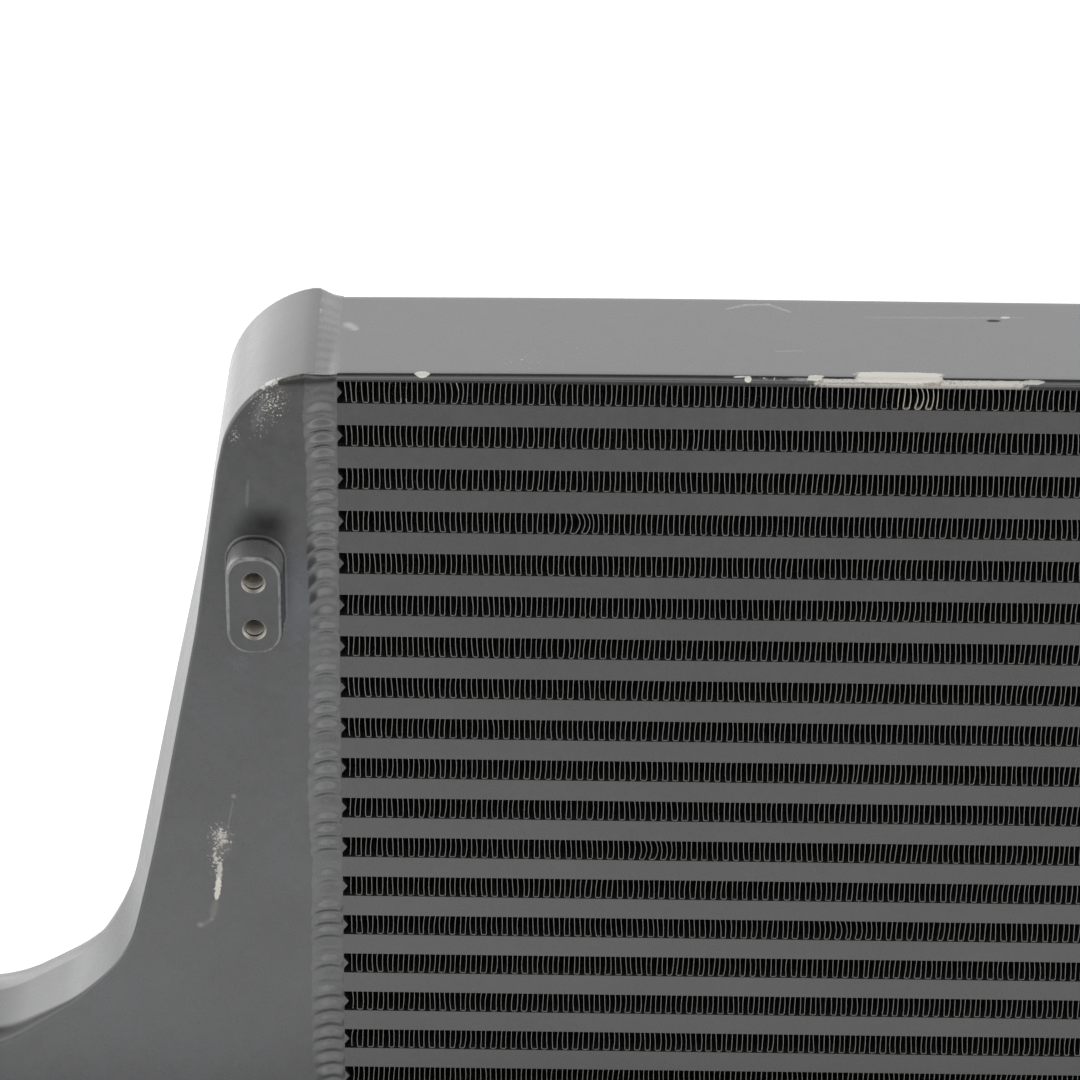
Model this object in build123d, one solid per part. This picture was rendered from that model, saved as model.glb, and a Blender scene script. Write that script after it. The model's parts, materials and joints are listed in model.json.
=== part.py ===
"""Bar-and-plate charge air cooler with cast end tanks and hose necks.

Frame: millimetres, +Z up, +X along the core, front face towards -Y.
The origin is the bottom centre of the core. The two ends mirror each other.
"""
from build123d import *
import os

# Core: air rows of folded fin, with flat charge passages between them.
row_count = 21
core_depth = 60.0
fin_span = 560.0              # finned face, from one end bar's body to the other's
fin_height = 8.5
fin_leg_pitch = 22.0          # folds are drawn coarser than the real 1.9 mm
fin_thickness = 0.5
fin_end_clearance = 0.3
fin_setback = 0.6             # the folds' edges lie this far behind the bars' faces
passage_height = 8.5          # both parting sheets and the long bars between them
sheet_thickness = 0.8
long_bar_width = 6.0
long_bar_nose = 1.5           # how far the point inside reaches beyond the bar's body
turbulator_leg_pitch = 7.4
turbulator_thickness = 0.4
turbulator_clearance = 0.3
end_bar_width = 8.0
end_bar_nose = 1.7
end_bar_nose_base = 4.6
plate_thickness = 3.6
plate_edge_radius = 0.8

# End tank, seen from the front. "Reach" is the distance out from the core's end face,
# and "drop" is the distance down from the top of the core. The side is a line through
# these corners, each rounded by its radius.
tank_wall = 3.5
tank_edge_break = 1.8
shoulder_reach = 28.3
shoulder_radius = 34.0
flank_reach, flank_drop = 44.6, 103.0
flank_radius = 300.0
hip_reach, hip_drop = 75.6, 254.3
hip_radius = 54.0
throat_reach = 120.0
throat_radius = 90.0
foot_reach = 96.0
foot_radius = 70.0
heel_length = 20.0

# Neck, and the trumpet shape round its axis that rounds the tank's end towards it.
neck_radius = 30.0
neck_axis_height = 45.7
neck_start_reach = 170.0
neck_bore_radius = neck_radius - tank_wall
trumpet_start_reach = 84.0
trumpet_start_radius = 70.0
trumpet_waist_reach = 101.0
trumpet_waist_radius = 50.0
trumpet_throat_reach = 126.0
trumpet_throat_radius = 36.5
hollow_start_radius = 56.0
hose_seat_length = 28.0
hose_bead_width = 6.0
hose_bead_height = 2.0
neck_tip_length = 8.0

# Mounting boss on the front of each tank, with two blind tapped holes.
boss_reach = 21.3
boss_drop = 84.8
boss_width = 19.6
boss_height = 39.1
boss_corner_radius = 8.4
boss_projection = 14.0
boss_edge_break = 1.0
boss_root = 2.0               # the root spreads by this much over the same height
screw_spacing = 19.0
screw_hole_radius = 3.4       # tapping size for M8
screw_hole_depth = 14.0

# Weld bead over the joint between the core and each tank.
bead_width = 13.0
bead_height = 2.2

core_height = (2 * plate_thickness + row_count * fin_height
               + (row_count - 1) * passage_height)
core_length = fin_span + 2 * end_bar_width
half_length = core_length / 2
half_depth = core_depth / 2
row_pitch = fin_height + passage_height
overlap = 1.0                 # length by which a cutting solid passes through a face
touch = 0.01                  # points closer than this are taken as one


def across(sketch, depth):
    """Prism of a side view drawn in X and Z, centred from front to back."""
    return Pos(0, depth / 2, 0) * extrude(Plane.XZ * sketch, depth)


def along(sketch, length):
    """Prism of a section drawn in Y and Z, centred from left to right."""
    return Pos(-length / 2, 0, 0) * extrude(Plane.YZ * sketch, length)


def row_base(row):
    """Height of the underside of an air row, counted from the bottom."""
    return plate_thickness + row * row_pitch


def folded_strip(length, height, thickness, leg_pitch):
    """Closed outline of a sheet folded to and fro, standing on its lower folds."""
    legs = max(2, round(length / leg_pitch))
    rise = height - thickness
    fold = [(length * (n / legs - 0.5), rise * (n % 2)) for n in range(legs + 1)]
    upper = [(x, z + thickness) for x, z in fold]
    return make_face(Polyline(*fold, *reversed(upper), close=True))


def air_fin(row):
    """Folded fin of one air row: the folds run from front to back."""
    length = fin_span - 2 * (end_bar_nose + fin_end_clearance)
    strip = folded_strip(length, fin_height, fin_thickness, fin_leg_pitch)
    return Pos(0, 0, row_base(row)) * across(strip, core_depth - 2 * fin_setback)


def passage_bore():
    """Section through a passage's inside, with the long bars' points at mid-height."""
    half_width = half_depth - long_bar_width
    half_tall = passage_height / 2 - sheet_thickness
    point = half_width - long_bar_nose
    return make_face(Polyline(
        (-half_width, -half_tall), (half_width, -half_tall), (point, 0),
        (half_width, half_tall), (-half_width, half_tall), (-point, 0), close=True))


def charge_passage(row):
    """Two parting sheets brazed to a long bar at the front and one at the back."""
    middle = row_base(row) + fin_height + passage_height / 2
    section = Rectangle(core_depth, passage_height) - passage_bore()
    return Pos(0, 0, middle) * along(section, core_length)


def turbulator(row):
    """Folded sheet inside one passage: the folds run along the flow."""
    width = core_depth - 2 * (long_bar_width + long_bar_nose + turbulator_clearance)
    height = passage_height - 2 * sheet_thickness
    strip = folded_strip(width, height, turbulator_thickness, turbulator_leg_pitch)
    base = row_base(row) + fin_height + sheet_thickness
    return Pos(0, 0, base) * along(strip, core_length)


def end_bar(row):
    """Bar that closes the left end of one air row, with its point towards the fins."""
    inner = end_bar_width - half_length
    low, high = (fin_height - end_bar_nose_base) / 2, (fin_height + end_bar_nose_base) / 2
    section = make_face(Polyline(
        (-half_length, 0), (inner, 0), (inner, low), (inner + end_bar_nose, fin_height / 2),
        (inner, high), (inner, fin_height), (-half_length, fin_height), close=True))
    return Pos(0, 0, row_base(row)) * across(section, core_depth)


def side_plate(base):
    """Flat plate that closes the top or the bottom of the core."""
    plate = Pos(0, 0, base + plate_thickness / 2) * Box(core_length, core_depth, plate_thickness)
    outer = Axis.Z if base > 0 else -Axis.Z
    rim = plate.faces().sort_by(outer)[-1].edges().filter_by(Axis.X)
    return fillet(rim, plate_edge_radius)


def place(reach, drop):
    """Point of the left tank's side view, as (X, Z)."""
    return (-half_length - reach, core_height - drop)


def rounded_line(corners):
    """Line through corners given as (point, radius), rounded at all but the two ends."""
    points = [point for point, radius in corners]
    return FilletPolyline(*points, radius=[radius for point, radius in corners[1:-1]])


def tank_outline():
    """Side view of the tank, carried past both of its open ends."""
    crown = core_height - neck_axis_height - neck_radius
    heel = core_height - neck_axis_height + neck_radius
    beyond = neck_start_reach + tank_wall * 2
    side = rounded_line([
        (place(-tank_wall * 2, 0), 0),
        (place(shoulder_reach, 0), shoulder_radius),
        (place(flank_reach, flank_drop), flank_radius),
        (place(hip_reach, hip_drop), hip_radius),
        (place(throat_reach, crown), throat_radius),
        (place(beyond, crown), 0)])
    under = rounded_line([
        (place(beyond, heel), 0),
        (place(neck_start_reach - heel_length, heel), foot_radius),
        (place(foot_reach, core_height), foot_radius),
        (place(-tank_wall * 2, core_height), 0)])
    ends = (Line(place(beyond, crown), place(beyond, heel))
            + Line(place(-tank_wall * 2, core_height), place(-tank_wall * 2, 0)))
    return make_face(side + under + ends)


def trumpet(corners, start):
    """Turned shape round the neck's axis that cuts the tank's end to a round form."""
    wide = core_height
    first_reach = corners[0][0]
    outline = Polyline((start, 0), (start, wide), (first_reach, wide), *corners,
                       (neck_start_reach, 0), close=True)
    turned = revolve(make_face(outline), Axis.X)
    return Pos(-half_length, 0, neck_axis_height) * (Rot(0, 180, 0) * turned)


def tank_outside():
    """Outer form of the tank from the core to the neck."""
    slab = across(tank_outline(), core_depth)
    rim = [edge for edge in slab.edges() if abs(abs(edge.center().Y) - half_depth) < touch]
    corners = [(trumpet_start_reach, trumpet_start_radius),
               (trumpet_waist_reach, trumpet_waist_radius),
               (trumpet_throat_reach, trumpet_throat_radius),
               (neck_start_reach, neck_radius)]
    return chamfer(rim, tank_edge_break) & trumpet(corners, 0)


def tank_inside():
    """Hollow of the tank, open to the core and to the neck's bore."""
    outline = offset(tank_outline(), -tank_wall)
    corners = [(trumpet_start_reach, hollow_start_radius),
               (trumpet_throat_reach, trumpet_throat_radius - tank_wall),
               (neck_start_reach, neck_bore_radius)]
    return across(outline, core_depth - 2 * tank_wall) & trumpet(corners, -overlap)


def neck():
    """Round neck with its hose bead, turned about the neck's axis."""
    crest = hose_seat_length + hose_bead_width / 2
    bead = hose_seat_length + hose_bead_width
    tip = bead + neck_tip_length
    outline = Polyline(
        (0, neck_bore_radius), (0, neck_radius), (hose_seat_length, neck_radius),
        (crest, neck_radius + hose_bead_height), (bead, neck_radius), (tip, neck_radius),
        (tip, neck_bore_radius), close=True)
    turned = revolve(make_face(outline), Axis.X)
    return Pos(-half_length - neck_start_reach, 0, neck_axis_height) * (
        Rot(0, 180, 0) * turned)


def boss():
    """Upright boss on the tank's front, with a broken edge and a spread root."""
    outline = RectangleRounded(boss_width, boss_height, boss_corner_radius)
    block = extrude(outline, boss_projection)
    block = chamfer(block.faces().sort_by(Axis.Z)[-1].edges(), boss_edge_break)
    root = RectangleRounded(
        boss_width + 2 * boss_root, boss_height + 2 * boss_root, boss_corner_radius + boss_root)
    block = block + loft([root.face(), (Pos(0, 0, boss_root) * outline).face()])
    at_x, at_z = place(boss_reach, boss_drop)
    return Pos(at_x, -half_depth, at_z) * (Rot(90, 0, 0) * block)


def screw_hole():
    """Tool for one blind hole, going in from its mouth at the origin along +Y."""
    return Rot(-90, 0, 0) * Cylinder(
        screw_hole_radius, screw_hole_depth, align=(Align.CENTER, Align.CENTER, Align.MIN))


def tank():
    """Left end tank, cast in one piece with its neck and its boss."""
    shell = tank_outside() + boss() - tank_inside() + neck()
    at_x, at_z = place(boss_reach, boss_drop)
    for side in (-1, 1):
        spot = Pos(at_x, -half_depth - boss_projection, at_z + side * screw_spacing / 2)
        shell = shell - spot * screw_hole()
    return shell


def weld_bead():
    """Bead over the joint at the core's left end: up the front, over the top, down the back."""
    start, finish = -half_length - bead_width / 2, -half_length + bead_width / 2
    section = make_face(
        Line((start, -half_depth), (finish, -half_depth))
        + ThreePointArc((finish, -half_depth), (-half_length, -half_depth - bead_height),
                        (start, -half_depth)))
    path = Polyline(
        (-half_length, -half_depth, 0), (-half_length, -half_depth, core_height),
        (-half_length, half_depth, core_height), (-half_length, half_depth, 0))
    return sweep(section, path=path, transition=Transition.RIGHT)


def write(shape, name):
    """Write one node."""
    export_step(shape, f"parts/{name}.step")


def write_pair(shape, name):
    """Write a piece of the left end and its mirror image at the right end."""
    write(shape, f"left_{name}")
    write(mirror(shape, about=Plane.YZ), f"right_{name}")


os.makedirs("parts", exist_ok=True)
for row in range(row_count):
    write(air_fin(row), f"air_fin_{row + 1:02d}")
for row in range(row_count - 1):
    write(charge_passage(row), f"charge_passage_{row + 1:02d}")
write(Compound([turbulator(row) for row in range(row_count - 1)]), "turbulators")
write_pair(Compound([end_bar(row) for row in range(row_count)]), "end_bars")
write(side_plate(0), "bottom_plate")
write(side_plate(core_height - plate_thickness), "top_plate")
write_pair(tank(), "tank")
write_pair(weld_bead(), "weld_bead")
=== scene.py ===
import json
import math
import random

import bpy
import bmesh
import numpy as np
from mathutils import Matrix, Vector

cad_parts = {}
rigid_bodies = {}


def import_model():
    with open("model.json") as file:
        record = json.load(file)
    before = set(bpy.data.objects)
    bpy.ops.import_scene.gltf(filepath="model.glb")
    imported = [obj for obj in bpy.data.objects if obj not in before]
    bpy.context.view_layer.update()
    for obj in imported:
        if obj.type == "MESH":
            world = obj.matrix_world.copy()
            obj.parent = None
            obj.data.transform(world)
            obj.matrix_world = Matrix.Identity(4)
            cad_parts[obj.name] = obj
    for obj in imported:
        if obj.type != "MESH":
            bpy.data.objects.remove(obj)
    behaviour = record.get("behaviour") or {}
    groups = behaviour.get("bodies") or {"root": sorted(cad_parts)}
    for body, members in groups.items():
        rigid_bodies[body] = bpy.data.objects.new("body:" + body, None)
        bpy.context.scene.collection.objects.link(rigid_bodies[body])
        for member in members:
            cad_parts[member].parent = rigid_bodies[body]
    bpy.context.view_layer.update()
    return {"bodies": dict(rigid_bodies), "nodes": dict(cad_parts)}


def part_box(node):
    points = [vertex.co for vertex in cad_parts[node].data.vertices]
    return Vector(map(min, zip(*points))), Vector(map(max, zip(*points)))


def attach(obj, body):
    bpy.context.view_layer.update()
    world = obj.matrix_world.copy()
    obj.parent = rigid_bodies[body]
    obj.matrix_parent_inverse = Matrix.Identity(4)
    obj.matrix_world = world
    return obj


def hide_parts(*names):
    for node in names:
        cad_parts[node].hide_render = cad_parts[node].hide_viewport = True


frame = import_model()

root = next(iter(frame["bodies"]))

# ---------------------------------------------------------------------------------------
# Charge passages: extruded long bars brazed between parting sheets, painted with the rest
# of the core. Their fronts show as the flat strips between the fin rows. The solids from the
# frame are kept and get their finish.


def feed(tree, socket, value):
    """Give a socket its value, or link another socket to it."""
    if isinstance(value, bpy.types.NodeSocket):
        tree.links.new(value, socket)
    else:
        socket.default_value = value


def node(tree, kind, inputs=None, **settings):
    """One shader node, with its settings and its inputs given as values or sockets."""
    made = tree.nodes.new("ShaderNode" + kind)
    for key, value in settings.items():
        setattr(made, key, value)
    for key, value in (inputs or {}).items():
        feed(tree, made.inputs[key], value)
    return made


def calculate(tree, operation, *values, clamp=False):
    """Result of one Math node."""
    return node(tree, "Math", dict(enumerate(values)), operation=operation,
                use_clamp=clamp).outputs[0]


def times(tree, first, second, clamp=False):
    return calculate(tree, "MULTIPLY", first, second, clamp=clamp)


def coordinates(tree, kind="Object"):
    return node(tree, "TexCoord").outputs[kind]


def separate(tree, vector):
    return node(tree, "SeparateXYZ", {"Vector": vector}).outputs


def noise(tree, at, scale, detail, roughness=0.5):
    """Noise between 0 and 1."""
    return node(tree, "TexNoise", {"Vector": at, "Scale": scale, "Detail": detail,
                                   "Roughness": roughness}).outputs["Fac"]


def ramp(tree, value, start, finish, low=0.0, high=1.0, **settings):
    """Value brought from between start and finish to between low and high, and held there."""
    return node(tree, "MapRange", {"Value": value, "From Min": start, "From Max": finish,
                                   "To Min": low, "To Max": high}, **settings).outputs[0]


def bump(tree, height, strength, distance, **under):
    """Normal roughened by a height."""
    return node(tree, "Bump", {"Strength": strength, "Distance": distance, "Height": height,
                               **under}).outputs[0]


def blend_colours(tree, share, first, second):
    """First colour where share is 0, second where it is 1."""
    return node(tree, "Mix", {0: share, 6: first, 7: second}, data_type="RGBA").outputs[2]


def group(name, inputs, outputs):
    """Empty shader node group with named sockets, the values given to it, and its results."""
    tree = bpy.data.node_groups.new(name, "ShaderNodeTree")
    for label, kind, value in inputs:
        socket = tree.interface.new_socket(label, in_out="INPUT", socket_type=kind)
        socket.default_value = value
    for label, kind in outputs:
        tree.interface.new_socket(label, in_out="OUTPUT", socket_type=kind)
    return (tree, tree.nodes.new("NodeGroupInput").outputs,
            tree.nodes.new("NodeGroupOutput").inputs)


FLOAT, COLOUR, VECTOR = "NodeSocketFloat", "NodeSocketColor", "NodeSocketVector"


def make_paint_film():
    """Satin paint: slow and fine mottling, uneven gloss and the grain of the coat."""
    tree, given, result = group(
        "paint_film",
        [("Dark", COLOUR, (0.08, 0.08, 0.085, 1)), ("Light", COLOUR, (0.11, 0.11, 0.115, 1)),
         ("Gloss Low", FLOAT, 0.25), ("Gloss High", FLOAT, 0.31), ("Grain", FLOAT, 0.2),
         ("Casting", FLOAT, 0.2)],
        [("Color", COLOUR), ("Roughness", FLOAT), ("Normal", VECTOR)])
    at = coordinates(tree)
    slow = noise(tree, at, 16, 5, 0.6)
    fine = noise(tree, at, 170, 4, 0.65)
    mixed = calculate(tree, "ADD", times(tree, slow, 0.65), times(tree, fine, 0.35))
    mottle = ramp(tree, mixed, 0.36, 0.62)
    feed(tree, result["Color"], blend_colours(tree, mottle, given["Dark"], given["Light"]))
    feed(tree, result["Roughness"],
         ramp(tree, fine, 0.3, 0.7, given["Gloss Low"], given["Gloss High"]))
    cast = bump(tree, noise(tree, at, 55, 3), given["Casting"], 0.002)
    feed(tree, result["Normal"],
         bump(tree, noise(tree, at, 1900, 2), given["Grain"], 0.0002, Normal=cast))
    return tree


def torn_edge(tree, given, at, detail, roughness=0.7):
    """Noise about zero that tears the edge of a mask."""
    speck = noise(tree, at, given["Scale"], detail, roughness)
    return times(tree, calculate(tree, "SUBTRACT", speck, 0.5), given["Ragged"])


def sharpened(tree, given, near, torn):
    """Mask from how far inside its edge a place is."""
    return times(tree, calculate(tree, "ADD", near, torn), given["Sharp"], clamp=True)


def make_patch():
    """Mask of one place of wear, dirt, painted shade or painted light: an ellipsoid, or a box, with
    a ragged, grainy edge.
    """
    tree, given, result = group(
        "patch",
        [("Centre", VECTOR, (0, 0, 0)), ("Half Size", VECTOR, (0.01, 0.01, 0.01)),
         ("Scale", FLOAT, 400.0), ("Ragged", FLOAT, 1.2), ("Cover", FLOAT, 0.6),
         ("Sharp", FLOAT, 6.0), ("Box", FLOAT, 0.0)],
        [("Mask", FLOAT)])

    def vector(operation, *values):
        return node(tree, "VectorMath", dict(enumerate(values)), operation=operation).outputs

    at = coordinates(tree)
    away = vector("SUBTRACT", at, given["Centre"])[0]
    share = vector("DIVIDE", away, given["Half Size"])[0]
    length = vector("LENGTH", share)["Value"]
    sides = separate(tree, vector("ABSOLUTE", share)[0])
    largest = calculate(tree, "MAXIMUM", calculate(tree, "MAXIMUM", sides["X"], sides["Y"]),
                        sides["Z"])
    rounded = calculate(tree, "SUBTRACT", 1.0, given["Box"])
    distance = calculate(tree, "ADD", times(tree, largest, given["Box"]),
                         times(tree, length, rounded))
    near = calculate(tree, "SUBTRACT", given["Cover"], distance)
    total = sharpened(tree, given, near, torn_edge(tree, given, at, 5))
    feed(tree, result["Mask"],
         times(tree, total, calculate(tree, "LESS_THAN", distance, 1.0)))
    return tree


def make_stroke():
    """Mask of a line between two points, for a scratch, a smear, painted shade or a painted glint,
    ragged and narrower at its ends.
    """
    tree, given, result = group(
        "stroke",
        [("Start", VECTOR, (0, 0, 0)), ("End", VECTOR, (0.01, 0, 0)),
         ("Half Width", FLOAT, 0.001), ("Taper", FLOAT, 0.6), ("Scale", FLOAT, 900.0),
         ("Ragged", FLOAT, 1.0), ("Sharp", FLOAT, 3.0)],
        [("Mask", FLOAT)])

    def vector(operation, first, second, output=0):
        return node(tree, "VectorMath", {0: first, 1: second},
                    operation=operation).outputs[output]

    at = coordinates(tree)
    along = vector("SUBTRACT", given["End"], given["Start"])
    away = vector("SUBTRACT", at, given["Start"])
    share = calculate(tree, "DIVIDE", vector("DOT_PRODUCT", away, along, "Value"),
                      vector("DOT_PRODUCT", along, along, "Value"), clamp=True)
    nearest = node(tree, "VectorMath", {0: along, "Scale": share}, operation="SCALE").outputs[0]
    off_middle = calculate(tree, "ABSOLUTE",
                           calculate(tree, "MULTIPLY_ADD", share, 2.0, -1.0))
    narrowing = times(tree, given["Taper"], calculate(tree, "POWER", off_middle, 2.5))
    width = times(tree, given["Half Width"], calculate(tree, "SUBTRACT", 1.0, narrowing))
    distance = calculate(tree, "DIVIDE", vector("DISTANCE", away, nearest, "Value"), width)
    near = calculate(tree, "SUBTRACT", 1.0, distance)
    feed(tree, result["Mask"], sharpened(tree, given, near, torn_edge(tree, given, at, 3)))
    return tree


def make_edge_wear_and_highlight():
    """Mask of an edge that lies between two depths in Y, for dust and paint wear with painted
    highlight.
    """
    tree, given, result = group(
        "edge_wear_and_highlight",
        [("Near", FLOAT, -0.031), ("Far", FLOAT, -0.029), ("Scale", FLOAT, 600.0),
         ("Ragged", FLOAT, 2.0), ("Cover", FLOAT, 0.8), ("Sharp", FLOAT, 3.0)],
        [("Mask", FLOAT)])
    at = coordinates(tree)
    depth = separate(tree, at)["Y"]
    inside = times(tree, calculate(tree, "GREATER_THAN", depth, given["Near"]),
                   calculate(tree, "LESS_THAN", depth, given["Far"]))
    total = sharpened(tree, given, given["Cover"], torn_edge(tree, given, at, 3, 0.65))
    feed(tree, result["Mask"], times(tree, total, inside))
    return tree


paint_film = make_paint_film()
patch = make_patch()
stroke = make_stroke()
edge_wear_and_highlight = make_edge_wear_and_highlight()


def use(tree, shared, **values):
    """A copy of a node group in a material; names with spaces are given with underscores."""
    inputs = {key.replace("_", " "): value for key, value in values.items()}
    return node(tree, "Group", inputs, node_tree=shared).outputs


def spot(tone, share, centre, half_size, **values):
    """A place of wear, dirt, painted shade or painted light: its colour, how strongly it covers,
    and where it lies.
    """
    return tone, share, patch, dict(Centre=centre, Half_Size=half_size, **values)


def streak(tone, share, start, end, half_width, **values):
    """A scratch, smear, line of painted shade or painted glint between two points."""
    return tone, share, stroke, dict(Start=start, End=end, Half_Width=half_width, **values)


def layer_marks(tree, colour, marks):
    """Colour with each mark laid over it, and how much of the coat's shine is lost there."""
    wear_and_painted_light = None
    for tone, share, shape, values in marks:
        mask = times(tree, use(tree, shape, **values)["Mask"], share)
        colour = blend_colours(tree, mask, colour, (*tone, 1))
        wear_and_painted_light = mask if wear_and_painted_light is None else calculate(tree, "MAXIMUM", wear_and_painted_light, mask)
    return colour, wear_and_painted_light


PAINT_IOR = 2.0               # the coat is nearly black and shines strongly
WEAR_AND_PAINTED_LIGHT_ROUGHNESS = 0.35         # places of wear, painted shade and painted highlight are this much rougher
WEAR_AND_PAINTED_LIGHT_SHINE = 0.4              # and lose this much of the coat's 0.5


def new_material(name):
    """Material with its node tree and its Principled shader's inputs."""
    material = bpy.data.materials.new(name)
    material.use_nodes = True
    return material, material.node_tree, material.node_tree.nodes["Principled BSDF"].inputs


def painted(name, dark, light, marks=(), clouds=(), **film_values):
    """Satin painted metal with clouds in its colour, some of them painted light, and marks of wear,
    dirt, painted shade and painted highlight laid over it.
    """
    material, tree, shader = new_material(name)
    film = use(tree, paint_film, Dark=(*dark, 1), Light=(*light, 1), **film_values)
    colour, _ = layer_marks(tree, film["Color"], clouds)
    colour, wear_and_painted_light = layer_marks(tree, colour, marks)
    roughness = film["Roughness"]
    if marks:
        roughness = calculate(tree, "ADD", roughness, times(tree, wear_and_painted_light, WEAR_AND_PAINTED_LIGHT_ROUGHNESS))
        feed(tree, shader["Specular IOR Level"],
             calculate(tree, "MULTIPLY_ADD", wear_and_painted_light, -WEAR_AND_PAINTED_LIGHT_SHINE, 0.5))
    feed(tree, shader["Base Color"], colour)
    feed(tree, shader["Roughness"], roughness)
    feed(tree, shader["Normal"], film["Normal"])
    shader["IOR"].default_value = PAINT_IOR
    return material


def dress(name, material):
    """Give a kept solid its finish."""
    shown = frame["nodes"][name]
    for place in shown.material_slots:
        place.material = material
    if not shown.material_slots:
        shown.data.materials.append(material)


MM = 0.001
ROW_COUNT = 21
PASSAGE_PAINT = ((0.022, 0.022, 0.022), (0.034, 0.034, 0.034))
core_paint = painted("core_bar_paint", *PASSAGE_PAINT, Grain=0.25, Casting=0.05)
for row in range(1, ROW_COUNT):
    dress(f"charge_passage_{row:02d}", core_paint)

# ---------------------------------------------------------------------------------------
# Turbulators: bare aluminium sheet folded and brazed inside each passage. They only show
# through the hose necks.


def bare_aluminium(name, tone, roughness):
    """Brazed or machined aluminium, dulled by age."""
    material, tree, shader = new_material(name)
    shader["Metallic"].default_value = 1.0
    stain = noise(tree, coordinates(tree), 300, 5, 0.65)
    shade = tuple(0.6 * value for value in tone)
    feed(tree, shader["Base Color"], blend_colours(tree, stain, (*tone, 1), (*shade, 1)))
    feed(tree, shader["Roughness"], ramp(tree, stain, 0, 1, roughness - 0.12, roughness + 0.12))
    feed(tree, shader["Normal"], bump(tree, stain, 0.3, 0.0002))
    return material


raw_metal = bare_aluminium("bare_aluminium", (0.62, 0.62, 0.64), 0.45)
dress("turbulators", raw_metal)

# ---------------------------------------------------------------------------------------
# Air fins: thin aluminium sheet folded to and fro at 1.9 mm, brazed in each air row and
# painted with the core. The legs stand unevenly, lean and bow, and a few are bent over.

FIN_PITCH = 1.9
FIN_SHEET = 0.2
FIN_CREST = 0.45            # radius of the fold at each crest
FIN_LEAN = 0.22
FIN_BOW = 0.24
FIN_JITTER = 0.16


def smooth_noise(count, spread, chooser):
    """Random values that drift over a number of steps, between about -1 and 1."""
    knots = [chooser.uniform(-1, 1) for _ in range(count // spread + 3)]
    steps = np.arange(count) / spread
    return np.interp(steps, np.arange(len(knots)), knots)


def fin_path(row, length, height):
    """Middle line of one folded strip as (x, z), from left to right."""
    chooser = random.Random(100 + row)
    legs = int(length / FIN_PITCH)
    centres = (np.arange(legs) + 0.5) * length / legs - length / 2
    lean = FIN_LEAN * smooth_noise(legs, 9, chooser) + np.array(
        [chooser.uniform(-FIN_JITTER, FIN_JITTER) for _ in range(legs)])
    bow = FIN_BOW * smooth_noise(legs, 7, chooser) + np.array(
        [chooser.uniform(-FIN_JITTER, FIN_JITTER) for _ in range(legs)])
    shift = np.array([chooser.uniform(-FIN_JITTER, FIN_JITTER) for _ in range(legs)]) * 0.8
    for at_x, reach, push in FIN_DAMAGE.get(row, ()):
        bow = bow + push * np.exp(-((centres - at_x) / reach) ** 2)
    shares = np.array([0.0, 0.14, 0.32, 0.5, 0.68, 0.86, 1.0])
    low, high = FIN_CREST * 0.9, height - FIN_CREST * 0.9
    points = []
    for leg in range(legs):
        rising = leg % 2 == 0
        x_line = (centres[leg] + shift[leg] + lean[leg] * (2 * shares - 1)
                  + bow[leg] * (1 - (2 * shares - 1) ** 2))
        z_line = low + shares * (high - low)
        order = slice(None) if rising else slice(None, None, -1)
        points += list(zip(x_line[order], z_line[order]))
        if leg < legs - 1:
            crest = height - FIN_SHEET / 2 if rising else FIN_SHEET / 2
            following = centres[leg + 1] + shift[leg + 1] + lean[leg + 1] * (1 if rising else -1)
            here = points[-1][0]
            points.append((here + 0.25 * (following - here), crest))
            points.append((here + 0.75 * (following - here), crest))
    return np.array(points)


def folded_sheet(path, thickness, front, back):
    """Vertices and faces of a folded strip that runs from front to back."""
    ahead = np.gradient(path, axis=0)
    ahead /= np.linalg.norm(ahead, axis=1)[:, None]
    aside = np.stack([-ahead[:, 1], ahead[:, 0]], 1) * thickness / 2
    count = len(path)
    verts = np.empty((count, 4, 3))
    for slot_index, (side, depth) in enumerate(((1, front), (-1, front), (-1, back), (1, back))):
        verts[:, slot_index, 0] = path[:, 0] + side * aside[:, 0]
        verts[:, slot_index, 1] = depth
        verts[:, slot_index, 2] = path[:, 1] + side * aside[:, 1]
    base = np.arange(count - 1)[:, None] * 4
    faces = [np.concatenate([base + a, base + b, base + 4 + b, base + 4 + a], 1)
             for a, b in ((0, 1), (1, 2), (2, 3), (3, 0))]
    return verts.reshape(-1, 3), np.concatenate(faces)


def new_piece(name, verts, faces, material, smooth=True):
    """Object from vertices in millimetres."""
    mesh = bpy.data.meshes.new(name)
    mesh.from_pydata((np.asarray(verts) * MM).tolist(), [], [list(face) for face in faces])
    mesh.polygons.foreach_set("use_smooth", [smooth] * len(mesh.polygons))
    mesh.update()
    mesh.materials.append(material)
    piece = bpy.data.objects.new(name, mesh)
    bpy.context.scene.collection.objects.link(piece)
    return piece


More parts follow.
